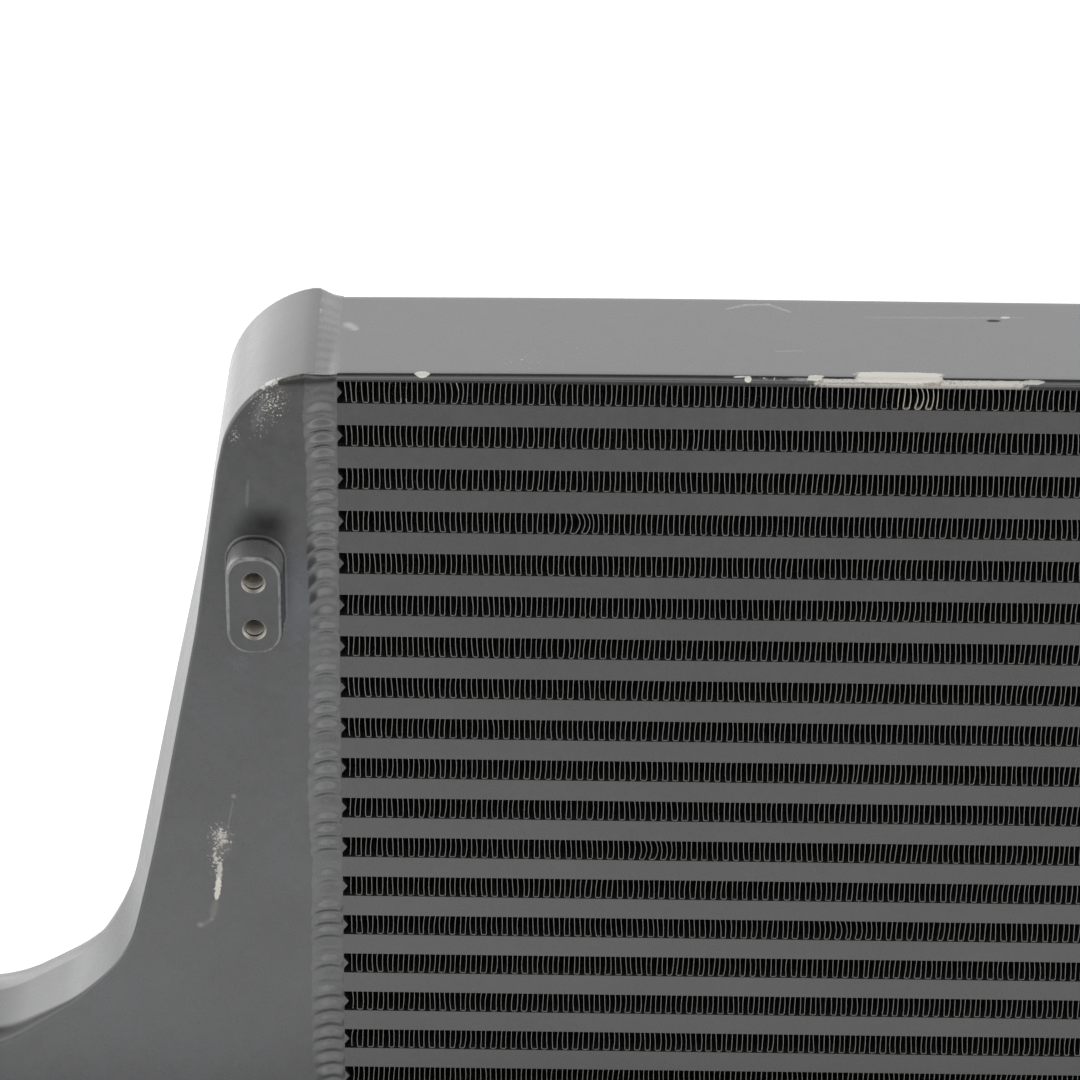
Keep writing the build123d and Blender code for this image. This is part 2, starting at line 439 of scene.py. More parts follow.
# Row (counted from the bottom): place along X, how far the damage spreads, and the push.
FIN_DAMAGE = {
    21: [(-79.0, 5.5, 1.1), (-239.0, 2.0, 0.8), (-205.0, 2.0, -0.6)],
    18: [(-195.5, 5.0, 1.1)],
    15: [(-198.5, 3.0, 0.6)],
    10: [(-168.0, 7.0, 0.9)],
    8: [(-100.0, 9.0, 0.7)],
}
DUST_AND_HIGHLIGHT = (0.34, 0.335, 0.32)
PRIMER = (0.62, 0.58, 0.5)
FIN_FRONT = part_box("air_fin_01")[0][1]
fin_marks = [
    # Front edges of the legs: dust with painted highlight, lighter than the rest of the fin.
    (DUST_AND_HIGHLIGHT, 0.85, edge_wear_and_highlight, dict(Near=FIN_FRONT - 0.001, Far=FIN_FRONT + 0.0003, Scale=160.0,
                                  Ragged=1.8, Cover=0.75, Sharp=1.6)),
    spot(PRIMER, 0.9, (-0.08, FIN_FRONT, 0.3475), (0.008, 0.002, 0.006), Scale=500, Ragged=1.2,
         Cover=1.2, Sharp=5),
    spot(PRIMER, 0.9, (-0.2391, FIN_FRONT, 0.3497), (0.002, 0.001, 0.0035), Scale=500, Ragged=1.2,
         Cover=0.6, Sharp=5),
    spot(PRIMER, 0.8, (-0.257, FIN_FRONT, 0.3444), (0.002, 0.001, 0.0016), Scale=500, Ragged=1.2,
         Cover=0.8, Sharp=5),
]
fin_paint = painted("fin_paint", (0.016, 0.016, 0.016), (0.024, 0.024, 0.024), fin_marks,
                    Grain=0.1, Casting=0.0, Gloss_Low=0.45, Gloss_High=0.6)
for row in range(1, ROW_COUNT + 1):
    low, high = [[value / MM for value in corner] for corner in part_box(f"air_fin_{row:02d}")]
    path = fin_path(row, high[0] - low[0], high[2] - low[2])
    path[:, 0] += (low[0] + high[0]) / 2
    path[:, 1] += low[2]
    verts, faces = folded_sheet(path, FIN_SHEET, low[1], high[1])
    fins = new_piece(f"fine_fin_{row:02d}", verts, faces, fin_paint, smooth=False)
    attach(fins, root)
    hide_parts(f"air_fin_{row:02d}")

# ---------------------------------------------------------------------------------------
# End bars: solid extruded bars brazed into the ends of each air row. Their points show as
# a small arrow at each end of the black rows.

for side in ("left", "right"):
    dress(f"{side}_end_bars", core_paint)

# ---------------------------------------------------------------------------------------
# Side plates: flat plates brazed over the outer air rows. The upper one is scratched, and
# paint has flaked off its front edge down to bare metal and pale primer.

CHIPPED = (0.66, 0.64, 0.59)
CREAM = (0.8, 0.78, 0.72)
PALE = (0.5, 0.5, 0.5)
RUST = (0.3, 0.2, 0.13)
SOOT_AND_SHADE = (0.012, 0.012, 0.013)
PLATE_TOP = 0.3557
plate_marks = [
    # Front edge chipped to bare metal along its whole height, stained in the middle.
    spot(CHIPPED, 1, (-0.0797, -0.0303, 0.3541), (0.04, 0.0009, 0.0022), Scale=500, Ragged=0.55,
         Cover=0.93, Sharp=12, Box=1),
    streak(CHIPPED, 0.9, (-0.045, -0.03, 0.3549), (-0.0366, -0.03, 0.3553), 0.0011, Taper=0.7,
            Ragged=0.8, Sharp=6),
    spot(SOOT_AND_SHADE, 0.5, (-0.0797, -0.03, 0.354), (0.041, 0.002, 0.003), Scale=1300, Ragged=8,
         Cover=-0.15, Sharp=3, Box=1),
    streak(SOOT_AND_SHADE, 0.45, (-0.113, -0.03, 0.3538), (-0.085, -0.03, 0.354), 0.0004, Ragged=3.5,
            Sharp=2),
    spot(RUST, 0.55, (-0.0755, -0.03, 0.354), (0.01, 0.002, 0.004), Scale=600, Ragged=2.8,
         Cover=0.5, Sharp=2.4),
    spot(RUST, 0.5, (-0.115, -0.03, 0.3545), (0.006, 0.002, 0.003), Scale=600, Ragged=2.8,
         Cover=0.45, Sharp=2.4),
    streak(CREAM, 0.8, (-0.112, -0.03, 0.3525), (-0.05, -0.03, 0.3527), 0.0005, Taper=0.3,
            Ragged=1.4, Sharp=3),
    streak(PALE, 0.55, (-0.126, -0.03, 0.3553), (-0.114, -0.03, 0.3552), 0.0008, Taper=0.6,
            Ragged=1.2),
    # Flakes off the top's front margin.
    spot(CREAM, 1, (-0.087, -0.0276, 0.3553), (0.0176, 0.0031, 0.0014), Scale=260, Ragged=0.5,
         Cover=0.9, Sharp=14, Box=0.75),
    spot(CREAM, 1, (-0.1156, -0.029, 0.3553), (0.0032, 0.0014, 0.001), Scale=500, Ragged=1,
         Cover=0.85, Sharp=9, Box=0.6),
    streak(CREAM, 1, (-0.2532, -0.0289, 0.3549), (-0.2482, -0.0289, 0.3549), 0.0015, Taper=0.8,
            Ragged=0.4, Sharp=10),
    streak(CREAM, 1, (-0.1445, -0.0296, PLATE_TOP), (-0.1395, -0.0292, PLATE_TOP), 0.0005,
            Taper=0.5, Ragged=0.5, Sharp=6),
    spot(CREAM, 1, (-0.1388, -0.0298, 0.3549), (0.0014, 0.0012, 0.0016), Scale=500, Ragged=0.7,
         Cover=0.9, Sharp=9),
    spot(CREAM, 0.9, (-0.13, -0.03, 0.3552), (0.01, 0.0014, 0.0012), Scale=900, Ragged=6,
         Cover=-0.1, Sharp=5),
    spot(PALE, 0.9, (-0.2484, -0.016, PLATE_TOP), (0.0012, 0.0012, 0.001), Scale=900, Ragged=1.5,
         Cover=0.5, Sharp=8),
    # Fine scratches and specks near the left front.
    spot(CREAM, 0.85, (-0.215, -0.019, PLATE_TOP), (0.022, 0.014, 0.001), Scale=900, Ragged=7,
         Cover=-0.45, Sharp=5),
    streak(CREAM, 0.6, (-0.2327, -0.0285, PLATE_TOP), (-0.2319, -0.0224, PLATE_TOP), 0.00035,
            Ragged=1.4),
    streak(CREAM, 0.6, (-0.2303, -0.0251, PLATE_TOP), (-0.2283, -0.029, PLATE_TOP), 0.00035,
            Ragged=1.4),
    streak(PALE, 0.4, (-0.2253, -0.0129, PLATE_TOP), (-0.2245, -0.018, PLATE_TOP), 0.0003,
            Ragged=1.4),
    streak(PALE, 0.5, (-0.1965, -0.006, PLATE_TOP), (-0.1985, -0.012, PLATE_TOP), 0.0003,
            Ragged=2),
    # Nick near the back at the right, in colour only: painted shade in its hollow and a painted
    # glint beside it.
    streak(SOOT_AND_SHADE, 0.9, (-0.0538, 0.0145, PLATE_TOP), (-0.0488, 0.0146, PLATE_TOP), 0.0011,
            Taper=0.8, Ragged=0.5),
    streak(CREAM, 0.9, (-0.0488, 0.017, PLATE_TOP), (-0.0453, 0.0173, PLATE_TOP), 0.0009,
            Taper=0.8, Ragged=0.5),
]
plate_clouds = [     # long faint arc behind, a smudge beside the left weld, faint rubbed lines
    streak(PALE, 0.3, (-0.1447, 0.0212, PLATE_TOP), (-0.1383, 0.0245, PLATE_TOP), 0.0008,
            Taper=0.3, Ragged=1),
    streak(PALE, 0.34, (-0.1383, 0.0245, PLATE_TOP), (-0.13, 0.025, PLATE_TOP), 0.0008, Taper=0,
            Ragged=1),
    streak(PALE, 0.3, (-0.13, 0.025, PLATE_TOP), (-0.1226, 0.0195, PLATE_TOP), 0.0008, Taper=0.3,
            Ragged=1),
    streak(PALE, 0.6, (-0.2795, 0.0095, PLATE_TOP), (-0.274, 0.0028, PLATE_TOP), 0.003,
            Taper=0.8, Scale=260, Ragged=0.9, Sharp=1.2),
    streak(PALE, 0.16, (-0.129, -0.0105, PLATE_TOP), (-0.119, -0.0098, PLATE_TOP), 0.0006,
            Ragged=2),
    streak(PALE, 0.14, (-0.096, 0.016, PLATE_TOP), (-0.04, 0.0172, PLATE_TOP), 0.0008, Ragged=2),
]
plate_paint = painted("side_plate_paint", (0.02, 0.0205, 0.021), (0.028, 0.0285, 0.029),
                      plate_marks, plate_clouds, Grain=0.02, Casting=0.012)
dress("bottom_plate", plate_paint)
PLATE_LOW, PLATE_HIGH = ([value / MM for value in corner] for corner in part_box("top_plate"))
PLATE_EDGE = 1.6
PLATE_SAG = 1.0               # the weld has pulled the ends of the upper plate down
SAG_START = 140.0
CORNER_SAG = 1.5


def eased(value, start, finish):
    """0 below start, 1 above finish, smooth between."""
    share = min(1.0, max(0.0, (value - start) / (finish - start)))
    return share * share * (3 - 2 * share)


def plate_sag(x, y):
    """How far the upper plate's outer face lies below its middle, most at its front corners."""
    sag = PLATE_SAG * (max(0.0, abs(x) - SAG_START) / (PLATE_HIGH[0] - SAG_START)) ** 1.6
    return sag + CORNER_SAG * eased(abs(x), 279.0, 285.0) * (1 - eased(y, -30.0, 10.0))


def upper_plate_mesh():
    """Plate with rounded upper edges, its outer face drawn down towards the ends."""
    turns = [math.pi / 2 * step / 4 for step in range(5)]
    arc = [(math.cos(turn), math.sin(turn)) for turn in turns]
    half, top = PLATE_HIGH[1], PLATE_HIGH[2]
    rim = [(-half, PLATE_LOW[2])]
    rim += [(-half + PLATE_EDGE * (1 - c), top - PLATE_EDGE * (1 - s)) for c, s in arc]
    rim += [(-half + 2 * half * share, top) for share in (0.06, 0.2, 0.4, 0.6, 0.8, 0.94)]
    rim += [(half - PLATE_EDGE * (1 - c), top - PLATE_EDGE * (1 - s)) for c, s in reversed(arc)]
    rim += [(half, PLATE_LOW[2])]
    ends = [PLATE_HIGH[0] - back for back in (0, 1.5, 3, 4.5, 6, 7.5, 9, 11)]
    places = sorted([-x for x in ends] + ends + list(np.linspace(-270, 270, 61)))
    verts = [(x, y, z - plate_sag(x, y) * (z > PLATE_LOW[2])) for x in places for y, z in rim]
    count = len(rim)
    faces = [(r * count + c, r * count + (c + 1) % count, (r + 1) * count + (c + 1) % count,
              (r + 1) * count + c) for r in range(len(places) - 1) for c in range(count)]
    faces += [tuple(range(count)), tuple(reversed(range(len(verts) - count, len(verts))))]
    return verts, [tuple(reversed(face)) for face in faces]


upper_plate = new_piece("upper_plate", *upper_plate_mesh(), plate_paint)
upper_plate.modifiers.new("even_shading", "WEIGHTED_NORMAL").keep_sharp = True
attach(upper_plate, root)
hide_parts("top_plate")

# ---------------------------------------------------------------------------------------
# End tanks: sand-cast aluminium, each in one piece with its hose neck and its boss, welded
# over the core's end and painted. The lower end turns outwards and rounds to the neck.

CORE_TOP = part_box("top_plate")[1][2] / MM
CORE_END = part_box("top_plate")[1][0] / MM
HALF_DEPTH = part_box("top_plate")[1][1] / MM
WALL = 3.5
CREST = 3.5                   # the casting's back stands this far above the plate at the weld
WELD_DIP = (0.7, 6.0)         # its edge is rounded down by this much over this reach
SHOULDER = (28.1, 39.6)       # reach of the shoulder's corner, and its radius
FLANK = (44.5, 103.0, 300.0)  # reach, drop and radius
HIP = (75.6, 254.3, 54.0)
THROAT = (121.0, 45.0)
FOOT = (96.0, 70.0)
HEEL = (150.0, 70.0)
NECK_AXIS = 45.7
NECK_RADIUS = 30.0
NECK_START = 170.0
JOIN_REACH = 96.0             # beyond this reach the tank is drawn in upright sections
DRAFT = [(-CREST, 3.6), (5, 1.8), (40, 0.3), (230, 3.9)]    # (drop, draw-in of the front face)
DRAFT_END = (60.0, 86.0)      # reaches between which the draft runs out
NECK_DRAFT = [(86, 0), (104, 0.8), (120, 1.2), (145, 1.0), (NECK_START, 0)]


def rounded_path(corners, arc_step=3.0, line_step=9.0):
    """Points along a line through corners (x, y, radius), with arcs at its corners."""
    points = []
    entry = Vector(corners[0][:2])
    for before, corner, after in zip(corners, corners[1:], corners[2:]):
        at = Vector(corner[:2])
        back, on = (Vector(before[:2]) - at).normalized(), (Vector(after[:2]) - at).normalized()
        half = back.angle(on) / 2
        cut = corner[2] / math.tan(half)
        start, finish = at + back * cut, at + on * cut
        centre = at + (back + on).normalized() * (corner[2] / math.sin(half))
        steps = max(1, round((start - entry).length / line_step))
        points += [entry.lerp(start, step / steps) for step in range(steps)]
        turn = math.pi - 2 * half
        arcs = max(3, round(corner[2] * turn / arc_step))
        first, last = start - centre, finish - centre
        for step in range(arcs):
            share = step / arcs
            spoke = (first * math.sin((1 - share) * turn) + last * math.sin(share * turn))
            points.append(centre + spoke / math.sin(turn))
        entry = finish
    end = Vector(corners[-1][:2])
    steps = max(1, round((end - entry).length / line_step))
    points += [entry.lerp(end, step / steps) for step in range(steps + 1)]
    return np.array([tuple(point) for point in points])


EDGE = 1.4
FRONT_UPPER = [(0, EDGE), (84, EDGE), (100, 2.5), (123, 6.0), (145, 13.0),
               (NECK_START, NECK_RADIUS)]
BACK_UPPER_WIDE = [(0, EDGE), (55, EDGE), (70, 16.0), (85, 31.0), (125, 33.0),
                   (NECK_START, NECK_RADIUS)]
BACK_UPPER_TALL = [(0, EDGE), (55, EDGE), (70, 16.0), (85, 34.0), (105, 35.0), (125, 30.0),
                   (NECK_START, NECK_RADIUS)]
LOWER = [(0, EDGE), (88, EDGE), (125, 16.0), (NECK_START, NECK_RADIUS)]


def read(table, place):
    """Value at a place on a line through a few (place, value) pairs."""
    return float(np.interp(place, *zip(*table)))


def upper_outline():
    """Upper line of the tank's back face, from the core to the neck, as (reach, drop)."""
    crown = CORE_TOP - NECK_AXIS - NECK_RADIUS
    line = rounded_path([(-30, -CREST, 0), (SHOULDER[0], -CREST, SHOULDER[1]), FLANK, HIP,
                         (THROAT[0], crown, THROAT[1]), (NECK_START, crown, 0)])
    line = line[line[:, 0] >= 0]
    line[:, 1] += WELD_DIP[0] * np.maximum(0, 1 - line[:, 0] / WELD_DIP[1]) ** 2
    return line


def draft_at(reach, drop):
    """How far the front face's outline lies inside that of the back face."""
    return read(DRAFT, drop) * (1 - eased(reach, *DRAFT_END)) + read(NECK_DRAFT, reach)


def tank_sections(inset):
    """Closed loops of points from the core to the neck, as (reach, Y, drop)."""
    heel = CORE_TOP - NECK_AXIS + NECK_RADIUS
    upper = upper_outline()
    under = rounded_path([(-12, CORE_TOP, 0), (FOOT[0], CORE_TOP, FOOT[1]),
                          (HEEL[0], heel, HEEL[1]), (NECK_START, heel, 0)])
    upper[0, 0] = 0
    ahead = np.gradient(upper, axis=0)
    outward = np.stack([ahead[:, 1], -ahead[:, 0]], 1)
    outward /= np.linalg.norm(outward, axis=1)[:, None]
    lengths = np.concatenate([[0], np.cumsum(np.linalg.norm(np.diff(upper, axis=0), axis=1))])
    join_length = np.interp(JOIN_REACH, upper[:, 0], lengths)
    deep = HALF_DEPTH - inset
    loops = []
    for (reach, drop), normal, length in zip(upper, outward, lengths):
        foot_reach = JOIN_REACH * length / join_length if reach < JOIN_REACH else reach
        foot_drop = np.interp(foot_reach, under[:, 0], under[:, 1])
        back = np.array([reach, drop]) - normal * inset
        front = back - normal * draft_at(reach, drop)
        foot = np.array([foot_reach, foot_drop - inset])
        down = np.array([0, 1.0])
        front_edge, back_wide, back_tall, lower = (
            max(0.8, read(table, reach) - inset)
            for table in (FRONT_UPPER, BACK_UPPER_WIDE, BACK_UPPER_TALL, LOWER))
        corners = [  # (anchor, way out, side in Y, size across, size along the way out)
            (front, normal, -1, front_edge, front_edge), (back, normal, 1, back_wide, back_tall),
            (foot, down, 1, lower, lower), (foot, down, -1, lower, lower)]
        loop = []
        for index, (anchor, way, side, wide, tall) in enumerate(corners):
            turns = [math.pi / 2 * step / 8 for step in range(9)]
            if index % 2 == 1:
                turns.reverse()
            for turn in turns:
                flat = anchor - way * tall * (1 - math.sin(turn))
                loop.append((flat[0], side * (deep - wide * (1 - math.cos(turn))), flat[1]))
            begin = np.array(loop[-1])
            following = corners[(index + 1) % 4]
            if index % 2 == 0:
                flat = following[0]
                end = np.array((flat[0], following[2] * (deep - following[3]), flat[1]))
            else:
                flat = following[0] - following[1] * following[4]
                end = np.array((flat[0], following[2] * deep, flat[1]))
            for share in (0.012, 0.15, 0.35, 0.5, 0.65, 0.85, 0.988):
                loop.append(tuple(begin + (end - begin) * share))
        loops.append(loop)
    return np.array(loops)


def neck_profile():
    """The neck as (reach, radius): the hose seat, the bead, the rounded tip and the bore."""
    seat, bead, tip, bore = 28.0, 6.0, 8.0, NECK_RADIUS - WALL
    profile = [(4, NECK_RADIUS), (seat - 6, NECK_RADIUS), (seat - 0.6, NECK_RADIUS)]
    profile += [(seat + bead * share, NECK_RADIUS + 2.0 * math.sin(math.pi * share) ** 0.8)
                for share in (0.08, 0.2, 0.35, 0.5, 0.65, 0.8, 0.92)]
    end = seat + bead + tip
    profile += [(seat + bead + 0.6, NECK_RADIUS), (end - 2, NECK_RADIUS),
                (end - 1, NECK_RADIUS - 0.05), (end - 0.3, NECK_RADIUS - 0.4),
                (end, NECK_RADIUS - 1.1), (end, bore + 1), (end - 0.3, bore + 0.3),
                (end - 1, bore), (end - 3, bore), (seat, bore), (4, bore)]
    return [(NECK_START + along, radius) for along, radius in profile]


def tank_mesh():
    """Vertices and faces of the left tank's outside, neck and inside as one skin."""
    outside = tank_sections(0.0)
    inside = tank_sections(WALL)[::-1]
    last = outside[-1]
    spin = last - np.array([NECK_START, 0, CORE_TOP - NECK_AXIS])
    spin /= NECK_RADIUS
    necks = [np.stack([np.full(len(spin), reach), spin[:, 1] * radius,
                       CORE_TOP - NECK_AXIS + spin[:, 2] * radius], 1)
             for reach, radius in neck_profile()]
    loops = np.concatenate([outside, np.array(necks), inside])
    rows, count = loops.shape[:2]
    verts = loops.reshape(-1, 3)
    verts = np.stack([-CORE_END - verts[:, 0], verts[:, 1], CORE_TOP - verts[:, 2]], 1)
    faces = [(r * count + c, r * count + (c + 1) % count, (r + 1) * count + (c + 1) % count,
              (r + 1) * count + c) for r in range(rows - 1) for c in range(count)]
    return verts, faces


BOSS_CENTRE = (-309.3, 270.1)
BOSS_WIDTH = 19.6
BOSS_HEIGHT = 39.1
BOSS_CORNER = 8.4
BOSS_FACE = 14.0
SCREW_SPACING = 19.0
SIDES = 28                    # of a hole, and of one turn of its thread
SCREW_RADIUS = 3.4
SCREW_CHAMFER = 4.3


def rounded_rectangle(grow, count=40):
    """Points round the boss's outline, grown outwards, as (x, z) from its centre."""
    wide, tall = BOSS_WIDTH / 2 - BOSS_CORNER, BOSS_HEIGHT / 2 - BOSS_CORNER
    radius = BOSS_CORNER + grow
    points = []
    for quarter, (side_x, side_z) in enumerate(((1, 1), (-1, 1), (-1, -1), (1, -1))):
        for step in range(count // 4):
            turn = math.pi / 2 * (quarter + step / (count // 4 - 1))
            points.append((side_x * wide + radius * math.cos(turn),
                           side_z * tall + radius * math.sin(turn)))
    return points


def hole_ring(builder, side, radius, depth):
    """Ring of vertices round one tapped hole, at a depth below the boss's face."""
    return [builder.verts.new((
        (BOSS_CENTRE[0] + radius * math.cos(2 * math.pi * i / SIDES)) * MM,
        (-HALF_DEPTH - BOSS_FACE + depth) * MM,
        (BOSS_CENTRE[1] + side * SCREW_SPACING / 2 + radius * math.sin(2 * math.pi * i / SIDES))
        * MM)) for i in range(SIDES)]


def add_boss(builder):
    """Boss on the tank's front: spread root, drafted wall, rounded edge and open holes."""
    rings = [(1.5, -0.1), (1.05, 0.05), (0.65, 0.25), (0.35, 0.6), (0.2, 1.1), (0.15, 2.0),
             (0.1, 6.0), (0.0, BOSS_FACE - 1.5), (-0.1, BOSS_FACE - 0.95),
             (-0.35, BOSS_FACE - 0.45), (-0.75, BOSS_FACE - 0.12), (-1.3, BOSS_FACE)]
    previous = None
    for grow, forward in rings:
        ring = [builder.verts.new(((BOSS_CENTRE[0] + x) * MM, (-HALF_DEPTH - forward) * MM,
                                   (BOSS_CENTRE[1] + z) * MM))
                for x, z in rounded_rectangle(grow)]
        if previous:
            for index in range(len(ring)):
                face = builder.faces.new((previous[index], previous[(index + 1) % len(ring)],
                                          ring[(index + 1) % len(ring)], ring[index]))
                face.smooth = True
        previous = ring
    rims = [builder.edges.get((previous[i], previous[(i + 1) % len(previous)]))
            for i in range(len(previous))]
    for side in (-1, 1):
        ring = hole_ring(builder, side, SCREW_CHAMFER, 0.0)
        rims += [builder.edges.new((ring[i], ring[(i + 1) % SIDES])) for i in range(SIDES)]
    bmesh.ops.triangle_fill(builder, use_beauty=True, use_dissolve=False, edges=rims)


def thread_mesh(builder, side):
    """Tapped blind hole: countersunk mouth, vee thread that winds inwards, and floor."""
    per_turn, pitch, depth = SIDES, 1.25, 13.0
    last = None
    for radius, along in ((SCREW_CHAMFER, 0.0), (SCREW_RADIUS + 0.3, 0.75), (SCREW_RADIUS, 1.2)):
        ring = hole_ring(builder, side, radius, along)
        if last:
            for i in range(SIDES):
                builder.faces.new((last[i], last[(i + 1) % SIDES], ring[(i + 1) % SIDES], ring[i]))
        last = ring
    turns = int(depth / pitch)
    rows = []
    for step in range(turns * per_turn + 1):
        angle = 2 * math.pi * step / per_turn
        along = 1.2 + pitch * step / per_turn
        row = []
        for share, bite in ((0.0, 0.0), (0.5, 0.55), (1.0, 0.0)):
            radius = SCREW_RADIUS + bite
            row.append(builder.verts.new((
                (BOSS_CENTRE[0] + radius * math.cos(angle)) * MM,
                (-HALF_DEPTH - BOSS_FACE + along + pitch * share) * MM,
                (BOSS_CENTRE[1] + side * SCREW_SPACING / 2 + radius * math.sin(angle)) * MM)))
        rows.append(row)
    for here, ahead in zip(rows, rows[1:]):
        for low in (0, 1):
            builder.faces.new((here[low], here[low + 1], ahead[low + 1], ahead[low]))
    builder.faces.new(hole_ring(builder, side, 4.0, depth + 1.2))


def mirrored(verts, faces):
    """The same mesh for the right end."""
    return np.asarray(verts) * (-1, 1, 1), [tuple(reversed(face)) for face in faces]


DIRT = (0.2, 0.17, 0.14)
DUST = (0.4, 0.38, 0.33)
CHALK = (0.72, 0.7, 0.64)
BLUISH = (0.075, 0.09, 0.112)
FRONT = -0.0300
# near-black tone for painted shade
SHADED = (0.003, 0.003, 0.0035)
tank_marks = [
    # Upper inner corner: paint chipped from the front edge, and specks sprayed below it.
    spot(DUST, 0.45, (-0.2995, -0.0262, 0.3515), (0.0095, 0.0065, 0.006), Scale=260, Ragged=2,
         Cover=0.5, Sharp=1.6),
    streak(CHALK, 0.85, (-0.3062, -0.0286, 0.3482), (-0.2995, -0.0284, 0.352), 0.0014, Taper=0.5,
            Scale=700, Ragged=3, Sharp=3),
    spot(CREAM, 1, (-0.3034, -0.0284, 0.3502), (0.0019, 0.0014, 0.0014), Scale=500, Ragged=1,
         Cover=0.9, Sharp=6),
    streak(DUST, 0.5, (-0.3, -0.0284, 0.3516), (-0.2905, -0.0284, 0.3545), 0.0015, Taper=0.6,
            Scale=500, Ragged=2, Sharp=1.6),
    spot(DIRT, 0.5, (-0.299, FRONT, 0.348), (0.005, 0.003, 0.006), Scale=500, Ragged=2.6,
         Cover=0.4, Sharp=2.5),
    spot(CHALK, 0.9, (-0.3028, FRONT, 0.3432), (0.0085, 0.003, 0.01), Scale=1100, Ragged=7,
         Cover=0, Sharp=4),
    spot(PALE, 0.7, (-0.3065, FRONT, 0.337), (0.007, 0.003, 0.015), Scale=1000, Ragged=7,
         Cover=-0.2, Sharp=4),
    streak(PALE, 0.1, (-0.3045, FRONT, 0.347), (-0.3096, FRONT, 0.332), 0.0022, Taper=0.8,
            Ragged=2.6, Sharp=1.2),
    spot(PALE, 0.7, (-0.3155, FRONT, 0.33), (0.0036, 0.003, 0.006), Scale=1100, Ragged=7, Cover=0,
         Sharp=4),
    # Painted shadow under the top edge, beside the weld, as a near-black, less shiny band.
    streak(SHADED, 0.75, (-0.2995, FRONT, 0.351), (-0.285, FRONT, 0.3528), 0.0024, Taper=0.5,
            Scale=160, Ragged=0.6, Sharp=1.3),
    # Scrape low on the face: a dot, a thin line, a torn ring and a rough run below it.
    spot(DUST, 0.5, (-0.3191, FRONT, 0.1822), (0.0014, 0.003, 0.0015), Ragged=0.8, Cover=0.8,
         Sharp=2),
    streak(PALE, 0.14, (-0.3193, FRONT, 0.18), (-0.3214, FRONT, 0.169), 0.0006, Ragged=1.6,
            Sharp=2),
    spot(DUST, 0.25, (-0.3236, FRONT, 0.1625), (0.0075, 0.003, 0.0125), Scale=200, Ragged=1.2,
         Cover=0.7, Sharp=1.2),
    spot(CHALK, 0.85, (-0.3242, FRONT, 0.1645), (0.0052, 0.003, 0.008), Scale=600, Ragged=5,
         Cover=0.5, Sharp=2),
    spot(CHALK, 0.85, (-0.3256, FRONT, 0.1545), (0.004, 0.003, 0.009), Scale=700, Ragged=5,
         Cover=0.4, Sharp=2.2),
    streak(CHALK, 0.8, (-0.3246, FRONT, 0.153), (-0.3254, FRONT, 0.145), 0.0012, Taper=0.4,
            Scale=800, Ragged=3.4, Sharp=2.4),
    streak(CREAM, 0.95, (-0.3252, FRONT, 0.1465), (-0.3263, FRONT, 0.1375), 0.0013, Taper=0.5,
            Scale=700, Ragged=2.2, Sharp=4),
    streak(DUST, 0.3, (-0.3264, FRONT, 0.137), (-0.3282, FRONT, 0.1285), 0.0019, Taper=0.4,
            Scale=300, Ragged=0.8, Sharp=1.2),
    streak(DUST, 0.25, (-0.3282, FRONT, 0.1285), (-0.3322, FRONT, 0.1258), 0.0014, Taper=0.4,
            Scale=300, Ragged=0.8, Sharp=1.2),
    spot(DUST, 0.5, (-0.3325, FRONT, 0.126), (0.002, 0.003, 0.002), Ragged=0.8, Cover=0.8,
         Sharp=1.8),
    # Boss: painted shade above it, a near-black, less shiny patch, and paint wear with painted
    # highlight along its edge, most of all at the top.
    spot(SHADED, 0.8, (-0.3055, FRONT, 0.2952), (0.0125, 0.003, 0.0115), Scale=120, Ragged=0.7,
         Cover=0.9, Sharp=1.2),
    (PALE, 0.4, edge_wear_and_highlight, dict(Near=-0.04399, Far=-0.0434, Scale=240.0, Ragged=2.0, Cover=0.5,
                                Sharp=1.6)),
    spot(PALE, 0.6, (-0.31, -0.0434, 0.29), (0.0085, 0.0008, 0.0024), Scale=300, Ragged=1.4,
         Cover=0.8, Sharp=2.5),
]
tank_clouds = [     # a faint pale line above the boss, painted light on its upper side, bluish beside and below it
    streak(PALE, 0.13, (-0.3114, FRONT, 0.3125), (-0.312, FRONT, 0.302), 0.0009, Taper=0.5,
            Ragged=1.2, Sharp=1.2),
    # painted light on the boss's upper side
    spot(PALE, 0.4, (-0.3105, -0.0373, 0.29), (0.014, 0.006, 0.0085), Scale=160, Ragged=0.8,
         Cover=1.1, Sharp=4, Box=0.9),
    spot(BLUISH, 0.95, (-0.2945, FRONT, 0.264), (0.012, 0.006, 0.032), Scale=90, Ragged=1.6,
         Cover=0.7, Sharp=1.6),
    spot(BLUISH, 0.45, (-0.318, FRONT, 0.238), (0.014, 0.006, 0.012), Scale=110, Ragged=2.2,
         Cover=0.5, Sharp=1.4),
]
tank_paint = painted("cast_tank_paint", (0.016, 0.0165, 0.0175), (0.044, 0.046, 0.05),
                     tank_marks, tank_clouds, Grain=0.03, Casting=0.04)
thread_metal = bare_aluminium("tapped_hole_metal", (0.74, 0.71, 0.65), 0.45)
verts, faces = tank_mesh()
